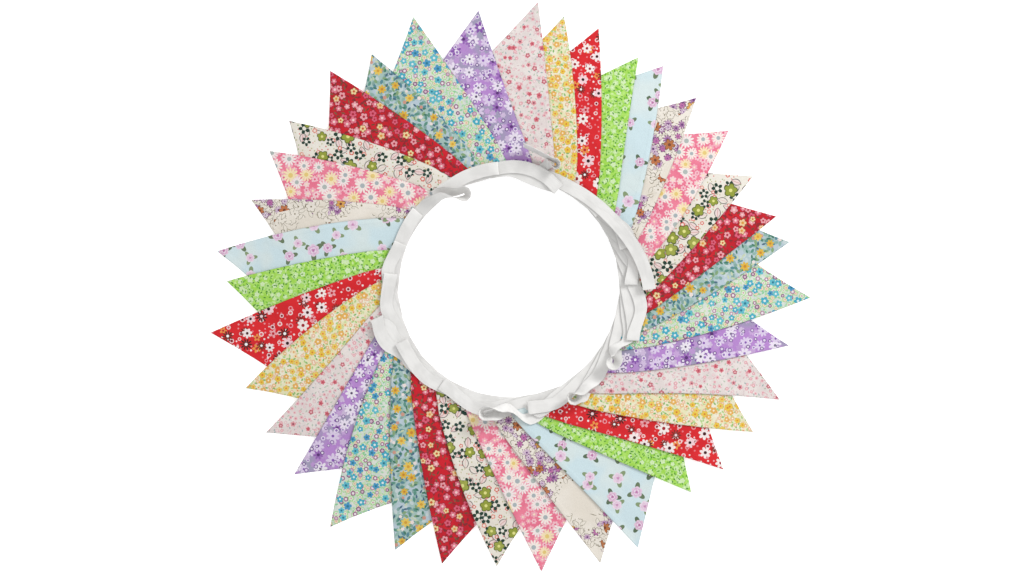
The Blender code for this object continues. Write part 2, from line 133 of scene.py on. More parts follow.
there = add(flower, "ShaderNodeMath", {0: chance.outputs[1], 1: given.outputs["Share"]},
            operation="LESS_THAN")
petal = add(flower, "ShaderNodeMath", {0: inside.outputs[0], 1: there.outputs[0]}, operation="MULTIPLY")
inner_rim = add(flower, "ShaderNodeMath", {0: rim.outputs[0], 1: given.outputs["Outline"]},
                operation="SUBTRACT")
past = add(flower, "ShaderNodeMath", {0: reach.outputs[0], 1: inner_rim.outputs[0]}, operation="GREATER_THAN")
edge = add(flower, "ShaderNodeMath", {0: past.outputs[0], 1: petal.outputs[0]}, operation="MULTIPLY")
near = add(flower, "ShaderNodeMath", {0: reach.outputs[0], 1: given.outputs["Centre"]}, operation="LESS_THAN")
middle = add(flower, "ShaderNodeMath", {0: near.outputs[0], 1: there.outputs[0]}, operation="MULTIPLY")
mixed = add(flower, "ShaderNodeMath", {0: chance.outputs[0], 1: 7.31}, operation="MULTIPLY")
pick = add(flower, "ShaderNodeMath", {0: mixed.outputs[0]}, operation="FRACT")
add(flower, "NodeGroupOutput", {"Petal": petal.outputs[0], "Edge": edge.outputs[0],
                                "Middle": middle.outputs[0],
                                "Pick": pick.outputs[0]})

# A leaf: a pointed oval with a rib, turned by chance. Notch is its width over its length.
leaf = motif_group("printed_leaf")
given = add(leaf, "NodeGroupInput")
spread = add(leaf, "ShaderNodeVectorMath", {0: given.outputs["Cloth"], "Scale": given.outputs["Per metre"]},
             operation="SCALE")
shifted = add(leaf, "ShaderNodeVectorMath", {0: spread.outputs[0], 1: given.outputs["Shift"]},
              operation="ADD")
cells = add(leaf, "ShaderNodeTexVoronoi", {"Vector": shifted.outputs[0], "Scale": 1.0, "Randomness": 0.8},
            voronoi_dimensions="2D", feature="F1")
local = add(leaf, "ShaderNodeVectorMath", {0: shifted.outputs[0], 1: cells.outputs["Position"]},
            operation="SUBTRACT")
chance = add(leaf, "ShaderNodeSeparateColor", {0: cells.outputs["Color"]})
angle = add(leaf, "ShaderNodeMath", {0: chance.outputs[0], 1: 2 * math.pi}, operation="MULTIPLY")
spun = add(leaf, "ShaderNodeVectorRotate", {"Vector": local.outputs[0], "Angle": angle.outputs[0]},
           rotation_type="Z_AXIS")
flat = add(leaf, "ShaderNodeSeparateXYZ", {0: spun.outputs[0]})
along = add(leaf, "ShaderNodeMath", {0: flat.outputs[0], 1: given.outputs["Radius"]}, operation="DIVIDE")
wide = add(leaf, "ShaderNodeMath", {0: given.outputs["Radius"], 1: given.outputs["Notch"]},
           operation="MULTIPLY")
across = add(leaf, "ShaderNodeMath", {0: flat.outputs[1], 1: wide.outputs[0]}, operation="DIVIDE")
across = add(leaf, "ShaderNodeMath", {0: across.outputs[0]}, operation="ABSOLUTE")
square = add(leaf, "ShaderNodeMath", {0: along.outputs[0], 1: along.outputs[0]}, operation="MULTIPLY")
rim = add(leaf, "ShaderNodeMath", {0: 1.0, 1: square.outputs[0]}, operation="SUBTRACT")
inside = add(leaf, "ShaderNodeMath", {0: across.outputs[0], 1: rim.outputs[0]}, operation="LESS_THAN")
there = add(leaf, "ShaderNodeMath", {0: chance.outputs[1], 1: given.outputs["Share"]}, operation="LESS_THAN")
petal = add(leaf, "ShaderNodeMath", {0: inside.outputs[0], 1: there.outputs[0]}, operation="MULTIPLY")
inner_rim = add(leaf, "ShaderNodeMath", {0: rim.outputs[0], 1: given.outputs["Outline"]},
                operation="SUBTRACT")
past = add(leaf, "ShaderNodeMath", {0: across.outputs[0], 1: inner_rim.outputs[0]}, operation="GREATER_THAN")
edge = add(leaf, "ShaderNodeMath", {0: past.outputs[0], 1: petal.outputs[0]}, operation="MULTIPLY")
rib = add(leaf, "ShaderNodeMath", {0: across.outputs[0], 1: given.outputs["Centre"]}, operation="LESS_THAN")
middle = add(leaf, "ShaderNodeMath", {0: rib.outputs[0], 1: petal.outputs[0]}, operation="MULTIPLY")
add(leaf, "NodeGroupOutput", {"Petal": petal.outputs[0], "Edge": edge.outputs[0], "Middle": middle.outputs[0],
                              "Pick": chance.outputs[2]})


def blended(tree, mask, under, over):
    """The colour over laid on the colour under where the mask is 1."""
    return add(tree, "ShaderNodeMix", {0: mask, 6: under, 7: over}, data_type="RGBA").outputs[2]


def picked(tree, chance_socket, colours):
    """One of a few inks, chosen by chance."""
    ramp = add(tree, "ShaderNodeValToRGB", {0: chance_socket})
    ramp.color_ramp.interpolation = "CONSTANT"
    stops = ramp.color_ramp.elements
    while len(stops) < len(colours):
        stops.new(0.5)
    while len(stops) > len(colours):
        stops.remove(stops[-1])
    for index, colour in enumerate(colours):
        stops[index].position = index / len(colours)
        stops[index].color = linear(colour)
    return ramp.outputs[0]


def printed(tree, cloth, under, group, every_mm, radius_mm, petals=5, notch=0.3, roundness=0.6, centre=0.28,
            outline=0.0, share=1.0, seed=0.0, inks=("#FFFFFF",), centre_inks=None, edge_ink=None):
    """Prints one kind of motif over the colour under: every_mm apart, radius_mm large."""
    motif = add(tree, "ShaderNodeGroup", node_tree=group)
    wire(tree, motif, {"Cloth": cloth, "Shift": (seed * 3.17, seed * 5.71, 0.0),
                       "Per metre": 1000.0 / every_mm,
                       "Radius": radius_mm / every_mm, "Petals": petals, "Notch": notch, "Round": roundness,
                       "Centre": centre, "Outline": outline, "Share": share})
    colour = blended(tree, motif.outputs["Petal"], under, picked(tree, motif.outputs["Pick"], inks))
    if edge_ink:
        colour = blended(tree, motif.outputs["Edge"], colour, linear(edge_ink))
    if centre_inks:
        colour = blended(tree, motif.outputs["Middle"], colour, picked(tree, motif.outputs["Pick"],
                                                                       centre_inks))
    return colour


def mottled(tree, cloth, per_metre, low, high, detail=2.0):
    """Two shades of a ground that drift into each other."""
    noise = add(tree, "ShaderNodeTexNoise", {"Vector": cloth, "Scale": per_metre, "Detail": detail},
                noise_dimensions="2D")
    share = add(tree, "ShaderNodeMapRange", {0: noise.outputs[0], 1: 0.38, 2: 0.62},
                interpolation_type="SMOOTHSTEP")
    return blended(tree, share.outputs[0], linear(low), linear(high))


def cotton_cloth(name):
    """A woven cotton: returns the material, its node tree and its cloth coordinate in metres."""
    made = bpy.data.materials.new(name)
    made.use_nodes = True
    cloth = add(made.node_tree, "ShaderNodeUVMap", uv_map="cloth").outputs[0]
    return made, made.node_tree, cloth


def finished_cotton(tree, cloth, colour):
    """Gives printed cotton its threads, its pressed seams, painted shade along its rolled edges and its soft
    dry surface.
    """
    shader = tree.nodes["Principled BSDF"]
    shader.inputs["Roughness"].default_value = 0.82
    shader.inputs["Specular IOR Level"].default_value = 0.25
    shader.inputs["Sheen Weight"].default_value = 0.12
    shader.inputs["Sheen Roughness"].default_value = 0.5
    from_edge = add(tree, "ShaderNodeAttribute", attribute_name="from_edge").outputs["Fac"]
    # The rolled edge turns away from the light, so painted shade darkens its ink for the last half
    # millimetre.
    rolled = add(tree, "ShaderNodeMapRange", {0: from_edge, 1: 0.0, 2: 0.0010, 3: 0.30, 4: 0.0})
    dark = add(tree, "ShaderNodeMix", {0: rolled.outputs[0], 6: colour, 7: linear("#3A332E")},
               data_type="RGBA",
               blend_type="MULTIPLY")
    # Ink takes unevenly on the threads, a few hundredths lighter and darker.
    uneven = add(tree, "ShaderNodeTexNoise", {"Vector": cloth, "Scale": 900.0, "Detail": 2.0},
                 noise_dimensions="2D")
    shade = add(tree, "ShaderNodeMapRange", {0: uneven.outputs[0], 1: 0.3, 2: 0.7, 3: 0.93 * INKED,
                                             4: 1.04 * INKED})
    inked = add(tree, "ShaderNodeVectorMath", {0: dark.outputs[2], "Scale": shade.outputs[0]},
                operation="SCALE")
    tree.links.new(inked.outputs[0], shader.inputs["Base Color"])
    weave = add(tree, "ShaderNodeVectorMath", {0: cloth, "Scale": math.pi / THREAD}, operation="SCALE")
    ways = add(tree, "ShaderNodeSeparateXYZ", {0: weave.outputs[0]})
    warp = add(tree, "ShaderNodeMath", {0: ways.outputs[0]}, operation="SINE")
    weft = add(tree, "ShaderNodeMath", {0: ways.outputs[1]}, operation="SINE")
    threads = add(tree, "ShaderNodeMath", {0: warp.outputs[0], 1: weft.outputs[0]}, operation="MULTIPLY")
    fine = add(tree, "ShaderNodeBump", {"Height": threads.outputs[0], "Strength": 0.25, "Distance": 0.00008})
    allowance = add(tree, "ShaderNodeMapRange", {0: from_edge, 1: SEAM_ALLOWANCE - 0.0008,
                                                 2: SEAM_ALLOWANCE + 0.0008, 3: 1.0, 4: 0.0},
                    interpolation_type="SMOOTHSTEP")
    step = add(tree, "ShaderNodeBump", {"Height": allowance.outputs[0], "Strength": 0.6, "Distance": 0.00022,
                                        "Normal": fine.outputs[0]})
    crumple = add(tree, "ShaderNodeTexNoise", {"Vector": cloth, "Scale": 38.0, "Detail": 3.0},
                  noise_dimensions="2D")
    soft = add(tree, "ShaderNodeBump", {"Height": crumple.outputs[0], "Strength": 0.5, "Distance": 0.0022,
                                        "Normal": step.outputs[0]})
    tree.links.new(soft.outputs[0], shader.inputs["Normal"])


def solid_copy(name, node):
    """An object with the node's shape, its loose triangles joined."""
    mesh = node.data.copy()
    mesh.name = name
    mesh.materials.clear()
    work = bmesh.new()
    work.from_mesh(mesh)
    bmesh.ops.remove_doubles(work, verts=work.verts, dist=1e-5)
    for face in work.faces:
        face.smooth = True
    return mesh, work


tape_mesh, tape_work = solid_copy("tape_layout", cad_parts["binding_tape"])
tape_tree = KDTree(len(tape_work.verts))
for vert in tape_work.verts:
    tape_tree.insert(vert.co, vert.index)
tape_tree.balance()
sewn_places = []


def edge_distance(points, starts, ends):
    """Distance in plan from each point to the nearest of some straight pieces."""
    best = np.full(len(points), 9.0)
    for start, end in zip(starts, ends):
        along = end - start
        share = np.clip(((points - start) @ along) / max(along @ along, 1e-12), 0.0, 1.0)
        best = np.minimum(best, np.linalg.norm(points - start - share[:, None] * along, axis=1))
    return best


def sew_pennant(number, cotton):
    """One pennant: its layout from the frame, set into the tape, rolled at its seams."""
    name = f"pennant_{number:02d}"
    mesh, work = solid_copy(name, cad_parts[f"flag_{number:02d}"])
    for vert in work.verts:
        top = vert.normal.z > 0.0
        lifted = min(1.0, (vert.co.z - (SOLID_THICK if top else 0.0)) / 0.002)
        vert.co.z += PILE_LIFT * lifted - (CLOTH_THINNER if top else 0.0)
    for vert in work.verts:
        place, _, far = tape_tree.find(vert.co)
        if far < SEWN_WITHIN:
            inward = Vector((place.x - vert.co.x, place.y - vert.co.y, 0.0)).normalized()
            sewn_places.append(vert.co.copy())
            vert.co += inward * SEAM_DEPTH
    bmesh.ops.subdivide_edges(work, edges=work.edges, cuts=2, use_grid_fill=True)
    work.normal_update()
    outline = [e for e in work.edges
               if min(f.normal.z for f in e.link_faces) < 0.5 < max(f.normal.z for f in e.link_faces)]
    starts = np.array([e.verts[0].co.xy for e in outline])
    ends = np.array([e.verts[1].co.xy for e in outline])
    for vert in work.verts:
        x, y = vert.co.x * 1000.0, vert.co.y * 1000.0
        ripple = math.sin(x / 17.0 + number) * math.cos(y / 13.0 - 2.0 * number)
        ripple += 0.6 * math.sin((x + y) / 7.3 + 3.0 * number)
        vert.co.z += RIPPLE * ripple * min(1.0, max(0.0, vert.co.z - 0.0007) / 0.002)
        vert.co.z = max(0.0, vert.co.z)
    work.to_mesh(mesh)
    work.free()
    piece = bpy.data.objects.new(name, mesh)
    bpy.context.scene.collection.objects.link(piece)
    rolled = piece.modifiers.new("rolled_edge", "BEVEL")
    rolled.width = ROLLED_EDGE
    rolled.segments = 2
    rolled.limit_method = "ANGLE"
    rolled.angle_limit = math.radians(55.0)
    bpy.context.view_layer.objects.active = piece
    with bpy.context.temp_override(object=piece, active_object=piece, selected_objects=[piece]):
        bpy.ops.object.modifier_apply(modifier=rolled.name)
    mesh = piece.data

    # The print is cut from the bolt with the pennant's own length along the cloth.
    count = len(mesh.vertices)
    places = np.zeros(count * 3, np.float32)
    mesh.vertices.foreach_get("co", places)
    places = places.reshape(-1, 3)
    places[:, 2] = np.maximum(places[:, 2], 0.0)
    mesh.vertices.foreach_set("co", places.ravel())
    places = places[:, :2].astype(float)
    tip = places[np.argmax(np.linalg.norm(places, axis=1))]
    root = places[np.linalg.norm(places - tip, axis=1) > 0.14].mean(axis=0)
    down = (tip - root) / np.linalg.norm(tip - root)
    side = np.array([-down[1], down[0]])
    cut_at = np.array([0.37 * number, 0.61 * number])
    cloth = np.stack([(places - tip) @ side, (places - tip) @ down], axis=1) + cut_at
    corners = np.zeros(len(mesh.loops), np.int32)
    mesh.loops.foreach_get("vertex_index", corners)
    layer = mesh.uv_layers.new(name="cloth")
    layer.data.foreach_set("uv", cloth[corners].astype(np.float32).ravel())
    far = mesh.attributes.new("from_edge", "FLOAT", "POINT")
    far.data.foreach_set("value", edge_distance(places, starts, ends).astype(np.float32))
    mesh.materials.append(cotton)
    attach(piece, "root")
    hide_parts(f"flag_{number:02d}")
    return piece


# Cotton lawn, roller printed: a dry, matt cloth whose tiny flowers read as pink specks.
pale_pink, tree, cloth = cotton_cloth("pale_pink_cotton_lawn")
colour = mottled(tree, cloth, 60.0, "#EFE6E2", "#E8DDDA")
colour = printed(tree, cloth, colour, leaf, 4.4, 1.7, notch=0.42, share=0.8, seed=1,
                 inks=("#B9C8B4", "#E3B9BE", "#DCCBCC", "#A3B4B4"))
colour = printed(tree, cloth, colour, flower, 7.0, 2.1, share=0.75, seed=2, inks=("#F2BEC4", "#EACDD0",
                                                                                  "#EBAAB4"),
                 notch=0.35, centre=0.35, centre_inks=("#D08A94", "#F5E6E0"))
colour = printed(tree, cloth, colour, flower, 14.0, 2.9, share=0.7, seed=3, notch=0.4,
                 inks=("#DC7480", "#E69AA2", "#C86C78"), centre=0.36, centre_inks=("#BE5060", "#9C5060",
                                                                                   "#F3C0C4"))
finished_cotton(tree, cloth, colour)
for number in (1, 13, 25):
    sew_pennant(number, pale_pink)

# ---------------------------------------------------------------------------
# Yellow ditsy pennants, the 2nd, 14th and 26th.
# The same lined triangles in a cream cotton lawn, closely printed with small
# yellow and orange flowers and light green leaves.
# ---------------------------------------------------------------------------
yellow, tree, cloth = cotton_cloth("yellow_cotton_lawn")
colour = mottled(tree, cloth, 70.0, "#F6F0DC", "#EEEABF")
colour = printed(tree, cloth, colour, leaf, 3.9, 2.1, notch=0.5, share=0.9, seed=4,
                 inks=("#B2D488", "#8CBC70", "#D2E2A4", "#EED0AC"))
colour = printed(tree, cloth, colour, flower, 6.4, 2.4, share=0.7, seed=5, inks=("#EFC0A0", "#F6E2B0",
                                                                                 "#EDBC88"),
                 centre=0.36, centre_inks=("#FFF3E2", "#E07C4C", "#FFF6E0"))
colour = printed(tree, cloth, colour, flower, 9.4, 3.8, share=0.72, seed=6, notch=0.34,
                 inks=("#EFCB48", "#EBB45C", "#F0D464"), outline=0.12, edge_ink="#DFAE58",
                 centre=0.28, centre_inks=("#E08A34", "#FFF0D0", "#EE8C40"))
finished_cotton(tree, cloth, colour)
for number in (2, 14, 26):
    sew_pennant(number, yellow)

# ---------------------------------------------------------------------------
# Red daisy pennants, the 3rd, 15th and 27th.
# Bright red cotton poplin with white daisies, dark spiky flowers and a
# scatter of white and pink rings and dots.
# ---------------------------------------------------------------------------
red, tree, cloth = cotton_cloth("red_cotton_poplin")
colour = mottled(tree, cloth, 30.0, "#E4242C", "#DA1D26")
colour = printed(tree, cloth, colour, flower, 6.2, 1.1, petals=1, notch=0.0, share=0.75, seed=7,
                 inks=("#FBE6E6", "#F3A6AE", "#EC7C86"))
colour = printed(tree, cloth, colour, flower, 12.0, 2.5, petals=1, notch=0.0, share=0.8, seed=8,
                 inks=("#F0A0AA", "#F7D5D8", "#F9E3E0"), centre=0.58, centre_inks=("#D81923", "#8C1420",
                                                                                   "#E8606C"))
colour = printed(tree, cloth, colour, flower, 21.0, 5.0, petals=5, notch=0.7, roundness=0.9, share=0.4,
                 seed=40,
                 inks=("#F09A4C", "#F0A8B0"), centre=0.3, centre_inks=("#C4202C",))
colour = printed(tree, cloth, colour, flower, 22.0, 6.4, petals=10, notch=0.72, roundness=1.3, share=0.6,
                 seed=9,
                 inks=("#5E2A1E", "#4A1D18", "#7A2A20"), centre=0.24, centre_inks=("#FFFFFF", "#F8D8DC"))
colour = printed(tree, cloth, colour, flower, 20.0, 6.6, petals=7, notch=0.5, roundness=0.8, share=0.66,
                 seed=10,
                 inks=("#FBEDEC", "#F8D5DA", "#FBF0EC"), centre=0.27, centre_inks=("#4C1018", "#2A0C10",
                                                                                   "#A51C2C"))
finished_cotton(tree, cloth, colour)
for number in (3, 15, 27):
    sew_pennant(number, red)

# ---------------------------------------------------------------------------
# Lime ditsy pennants, the 4th, 16th and 28th.
# Lime green cotton lawn printed tone on tone: pale flowers, light leaves and
# short dark green dashes.
# ---------------------------------------------------------------------------
lime, tree, cloth = cotton_cloth("lime_cotton_lawn")
colour = mottled(tree, cloth, 120.0, "#A6DE54", "#B4E86C")
colour = printed(tree, cloth, colour, leaf, 4.4, 2.2, notch=0.5, share=0.75, seed=11,
                 inks=("#C2EE88", "#84CC40", "#D2F4A4"))
colour = printed(tree, cloth, colour, flower, 8.0, 3.6, share=0.9, seed=12, notch=0.35,
                 inks=("#CFF0AC", "#BEE990", "#DAF2C0"), outline=0.12, edge_ink="#94D058",
                 centre=0.26, centre_inks=("#E6F8CC", "#7CC03C", "#D4F2AC"))
colour = printed(tree, cloth, colour, leaf, 4.8, 1.7, notch=0.42, share=0.8, seed=13,
                 inks=("#559A36", "#6CAC44", "#468A34"))
finished_cotton(tree, cloth, colour)
for number in (4, 16, 28):
    sew_pennant(number, lime)

# ---------------------------------------------------------------------------
# Blue rose pennants, the 5th, 17th and 29th.
# Pale blue cotton poplin with loose sprays of pink roses, each a soft whorl
# with olive leaves round it.
# ---------------------------------------------------------------------------
blue, tree, cloth = cotton_cloth("pale_blue_cotton_poplin")
colour = mottled(tree, cloth, 22.0, "#D4E9EF", "#DEECEC")
# Each spray is printed from the leaves up: three dark leaves, then rings of petals.
for side_step, share in ((0.0, 0.75), (0.23, 0.6)):
    for radius, petals, notch, roundness, inks, hearts in (
            (11.0, 3, 1.0, 2.6, ("#6E8062", "#8CA078", "#5E7258"), None),
            (6.4, 6, 0.22, 0.8, ("#EBD0E6", "#F2DEEE", "#E8CADE"), None),
            (4.7, 5, 0.30, 0.8, ("#E0B8D8", "#EACCE2", "#DCAED0"), None),
            (3.3, 4, 0.30, 0.9, ("#F0DEEE", "#ECD4E6", "#F2E0EE"), None),
            (2.1, 3, 0.40, 0.9, ("#D098C4", "#DAAACE", "#CA8EBA"), ("#BE7CAA", "#C88CB4", "#B8749F"))):
        colour = printed(tree, cloth, colour, flower, 31.0, radius, petals=petals, notch=notch,
                         roundness=roundness,
                         share=share, seed=15.3 + side_step, inks=inks, centre=0.4, centre_inks=hearts)
finished_cotton(tree, cloth, colour)
for number in (5, 17, 29):
    sew_pennant(number, blue)

# ---------------------------------------------------------------------------
# Ivory sketch pennants, the 6th, 18th and 30th.
# Ivory cotton poplin, plain in places, with flowers drawn in olive-brown
# line and clumps of purple and rust flowers between them.
# ---------------------------------------------------------------------------
ivory, tree, cloth = cotton_cloth("ivory_cotton_poplin")
colour = mottled(tree, cloth, 25.0, "#F3ECE1", "#ECE4D7")
clump = add(tree, "ShaderNodeTexNoise", {"Vector": cloth, "Scale": 14.0, "Detail": 2.0},
            noise_dimensions="2D")
clump_share = add(tree, "ShaderNodeMapRange", {0: clump.outputs[0], 1: 0.50, 2: 0.58, 3: 0.0,
                                               4: 0.9}).outputs[0]
drawn_share = add(tree, "ShaderNodeMapRange", {0: clump.outputs[0], 1: 0.42, 2: 0.50, 3: 0.0,
                                               4: 0.8}).outputs[0]
colour = printed(tree, cloth, colour, leaf, 12.0, 4.6, notch=0.10, share=drawn_share, seed=45,
                 inks=("#A89C84", "#8C8470", "#B4AC94"))
colour = printed(tree, cloth, colour, flower, 13.0, 6.4, petals=6, notch=0.35, share=drawn_share, seed=15,
                 inks=("#F1EADF",), outline=0.10, edge_ink="#7E755F", centre=0.15, centre_inks=("#857A5E",))
colour = printed(tree, cloth, colour, leaf, 10.0, 4.6, notch=0.5, share=drawn_share, seed=16,
                 inks=("#F0E9DD",),
                 outline=0.18, edge_ink="#7E755F")
colour = printed(tree, cloth, colour, flower, 13.0, 5.4, petals=9, notch=0.75, roundness=0.7,
                 share=clump_share,
                 seed=17, inks=("#C9A0C8", "#DCC0DA", "#A870A8"), outline=0.14, edge_ink="#6E3E6C",
                 centre=0.24, centre_inks=("#6A4478",))
colour = printed(tree, cloth, colour, flower, 12.0, 4.6, petals=7, notch=0.6, roundness=0.8,
                 share=clump_share,
                 seed=41, inks=("#EFE0EC", "#C874AE", "#E6D0E2"), outline=0.24, edge_ink="#7E4A7C",
                 centre=0.18, centre_inks=("#7E4E8A",))
colour = printed(tree, cloth, colour, flower, 26.0, 6.2, petals=6, notch=0.5, share=clump_share, seed=18,
                 inks=("#C8794C", "#E0A858", "#BC7444"), outline=0.14, edge_ink="#7A5038",
                 centre=0.26, centre_inks=("#7A4632",))
finished_cotton(tree, cloth, colour)
for number in (6, 18, 30):
    sew_pennant(number, ivory)

# ---------------------------------------------------------------------------
# Pink daisy pennants, the 7th, 19th and 31st.
# Mid pink cotton poplin crowded with cream daisies whose centres are yellow
# or grey-blue, in two sizes.
# ---------------------------------------------------------------------------
pink, tree, cloth = cotton_cloth("pink_cotton_poplin")
colour = mottled(tree, cloth, 40.0, "#F4869F", "#EE7894")
colour = printed(tree, cloth, colour, flower, 8.4, 3.9, petals=6, notch=0.5, share=0.95, seed=19,
                 inks=("#F9C6D0", "#FAD8DA", "#F7B0C0"), centre=0.3, centre_inks=("#E8688C", "#FBE6C8"))
colour = printed(tree, cloth, colour, flower, 17.0, 8.2, petals=12, notch=0.62, roundness=0.8, share=0.9,
                 seed=20,
                 inks=("#FBEFE8", "#FBE9BC", "#F9EEEC"), centre=0.30, centre_inks=("#AEB8BC", "#ECCF80",
                                                                                   "#B4BEBA"))
finished_cotton(tree, cloth, colour)
for number in (7, 19, 31):
    sew_pennant(number, pink)

# ---------------------------------------------------------------------------
# Cream leafy pennants, the 8th, 20th and 32nd.
# Cream cotton poplin with olive flowers, dark green open flowers, coral
# rings and leaves drawn in grey with a pale pink filling.
# ---------------------------------------------------------------------------
cream, tree, cloth = cotton_cloth("cream_cotton_poplin")
colour = mottled(tree, cloth, 25.0, "#F2EDE2", "#EDE6DA")
colour = printed(tree, cloth, colour, flower, 4.6, 0.85, petals=1, notch=0.0, share=0.6, seed=21,
                 inks=("#C9C39A", "#E0908A", "#A9B98A"))
colour = printed(tree, cloth, colour, leaf, 15.0, 6.6, notch=0.6, share=0.85, seed=22,
                 inks=("#F1DCD8", "#EFE6DC"), outline=0.24, edge_ink="#6E6A66", centre=0.10,
                 centre_inks=("#D9A9A6", "#E9CBC6"))
colour = printed(tree, cloth, colour, flower, 11.5, 2.8, petals=5, notch=0.3, share=0.6, seed=23,
                 inks=("#DC6C60", "#E69484"), centre=0.5, centre_inks=("#F7E6DC",))
colour = printed(tree, cloth, colour, flower, 17.0, 6.2, petals=5, notch=0.9, roundness=0.55, share=0.62,
                 seed=24,
                 inks=("#24443A", "#1F3D30"), centre=0.34, centre_inks=("#F2EDE2",))
colour = printed(tree, cloth, colour, flower, 22.0, 7.6, petals=5, notch=0.3, roundness=0.9, share=0.6,
                 seed=25,
                 inks=("#98A23C", "#A2AA4C"), outline=0.15, edge_ink="#5E6A2C", centre=0.24,
                 centre_inks=("#E8E690",))
finished_cotton(tree, cloth, colour)
for number in (8, 20, 32):
    sew_pennant(number, cream)

# ---------------------------------------------------------------------------
# Crimson ditsy pennants, the 9th, 21st and 33rd.
# Crimson cotton lawn with small pink flowers, a few cream ones, and short
# brown stems and dark red leaves between them.
# ---------------------------------------------------------------------------
crimson, tree, cloth = cotton_cloth("crimson_cotton_lawn")
colour = mottled(tree, cloth, 45.0, "#D41629", "#C41225")
colour = printed(tree, cloth, colour, leaf, 6.4, 3.3, notch=0.42, share=0.65, seed=42,
                 inks=("#9A1826", "#8A2A30", "#B01A2C"))
colour = printed(tree, cloth, colour, leaf, 5.4, 2.8, notch=0.34, share=0.75, seed=26,
                 inks=("#704430", "#7C5A40", "#8A2A2C"))
colour = printed(tree, cloth, colour, flower, 10.4, 4.7, share=0.85, seed=27, notch=0.4,
                 inks=("#E87C90", "#F0A4AC", "#E0607A"), outline=0.16, edge_ink="#9A1C30",
                 centre=0.28, centre_inks=("#F9D2D0", "#B02238"))
colour = printed(tree, cloth, colour, flower, 22.0, 4.6, share=0.8, seed=28, notch=0.4,
                 inks=("#F4DCA4", "#F3CDA0"), outline=0.16, edge_ink="#A5542A", centre=0.3,
                 centre_inks=("#D0602C", "#DE983A"))
finished_cotton(tree, cloth, colour)
for number in (9, 21, 33):
    sew_pennant(number, crimson)

# ---------------------------------------------------------------------------
# Teal brush pennants, the 10th, 22nd and 34th.
# Grey-teal cotton lawn covered with short brushed leaves in teal, green and
# navy, with yellow flowers among them.
# ---------------------------------------------------------------------------
teal, tree, cloth = cotton_cloth("teal_cotton_lawn")
colour = mottled(tree, cloth, 60.0, "#BDCEDA", "#A9C6C0")
colour = printed(tree, cloth, colour, leaf, 6.0, 3.4, notch=0.55, share=0.9, seed=29,
                 inks=("#93B8AE", "#CBD9DA", "#86AAA4"))
colour = printed(tree, cloth, colour, leaf, 6.0, 3.4, notch=0.5, share=0.75, seed=30,
                 inks=("#5F9686", "#86A87C", "#5A8C98"))
colour = printed(tree, cloth, colour, leaf, 6.4, 2.8, notch=0.42, share=0.65, seed=31,
                 inks=("#4C6E84", "#447C68", "#C9D6B4"))
colour = printed(tree, cloth, colour, flower, 11.0, 2.2, petals=5, notch=0.3, share=0.3, seed=43,
                 inks=("#F2E4E0", "#D29A88"))
colour = printed(tree, cloth, colour, flower, 17.0, 5.2, petals=7, notch=0.45, roundness=0.9, share=0.7,
                 seed=32,
                 inks=("#E2B740", "#EBC95C"), centre=0.3, centre_inks=("#CC8A34", "#D9A23C"))
finished_cotton(tree, cloth, colour)
for number in (10, 22, 34):
    sew_pennant(number, teal)

# ---------------------------------------------------------------------------
# Turquoise ditsy pennants, the 11th, 23rd and 35th.
# Pale cotton lawn with turquoise flowers, plum rings and light green
# outlined flowers, closely set.
# ---------------------------------------------------------------------------
turquoise, tree, cloth = cotton_cloth("turquoise_cotton_lawn")
colour = mottled(tree, cloth, 70.0, "#E4E7DE", "#D2DED6")
colour = printed(tree, cloth, colour, leaf, 4.2, 2.2, notch=0.5, share=0.85, seed=33,
                 inks=("#AEDCB0", "#90CFA0", "#CCE8B4"))
colour = printed(tree, cloth, colour, flower, 7.0, 3.2, share=0.85, seed=34, inks=("#E4EED8", "#F2DAC8"),
                 outline=0.24, edge_ink="#9AD482", centre=0.26, centre_inks=("#D49AAE", "#E4BA90"))
colour = printed(tree, cloth, colour, flower, 9.6, 2.7, share=0.75, seed=35, notch=0.15,
                 inks=("#A06C90", "#B98CA8", "#8A5C84"), centre=0.5, centre_inks=("#F0E6EA", "#D9BECC"))
colour = printed(tree, cloth, colour, flower, 12.5, 4.3, share=0.85, seed=36, notch=0.46,
                 inks=("#46AEC6", "#62BECE", "#4C9CC8"), centre=0.3, centre_inks=("#E4F0F0", "#2C7C96"))
finished_cotton(tree, cloth, colour)
for number in (11, 23, 35):
    sew_pennant(number, turquoise)

# ---------------------------------------------------------------------------
# Purple daisy pennants, the 12th, 24th and 36th.
# Lilac cotton poplin that drifts to purple, with white daisies, dark purple
# flowers and small rings.
# ---------------------------------------------------------------------------
purple, tree, cloth = cotton_cloth("purple_cotton_poplin")
colour = mottled(tree, cloth, 20.0, "#BC8CD4", "#A6A0BC", detail=1.0)
colour = printed(tree, cloth, colour, flower, 9.0, 4.0, petals=6, notch=0.45, share=0.7, seed=44,
                 inks=("#CCAADC", "#C09AD4", "#D4C0E0"))
colour = printed(tree, cloth, colour, flower, 20.0, 6.2, petals=7, notch=0.6, roundness=0.9, share=0.6,
                 seed=38,
                 inks=("#8A56AE", "#9A68B8"), centre=0.3, centre_inks=("#F4ECF8", "#5C3478"))
colour = printed(tree, cloth, colour, flower, 17.0, 7.4, petals=8, notch=0.55, roundness=0.8, share=0.7,
                 seed=39,
                 inks=("#F0E6F6", "#E2D2EE", "#F2ECF6"), centre=0.20, centre_inks=("#7A748A", "#8C5CB4",
                                                                                   "#5A4A6C"))
colour = printed(tree, cloth, colour, flower, 9.0, 2.3, petals=1, notch=0.0, share=0.75, seed=37,
                 inks=("#F0E6F6", "#6C4A8A", "#8A6AA8"), centre=0.58, centre_inks=("#9A78BE", "#E9DFF0",
                                                                                   "#E2D4EC"))
finished_cotton(tree, cloth, colour)
for number in (12, 24, 36):
    sew_pennant(number, purple)

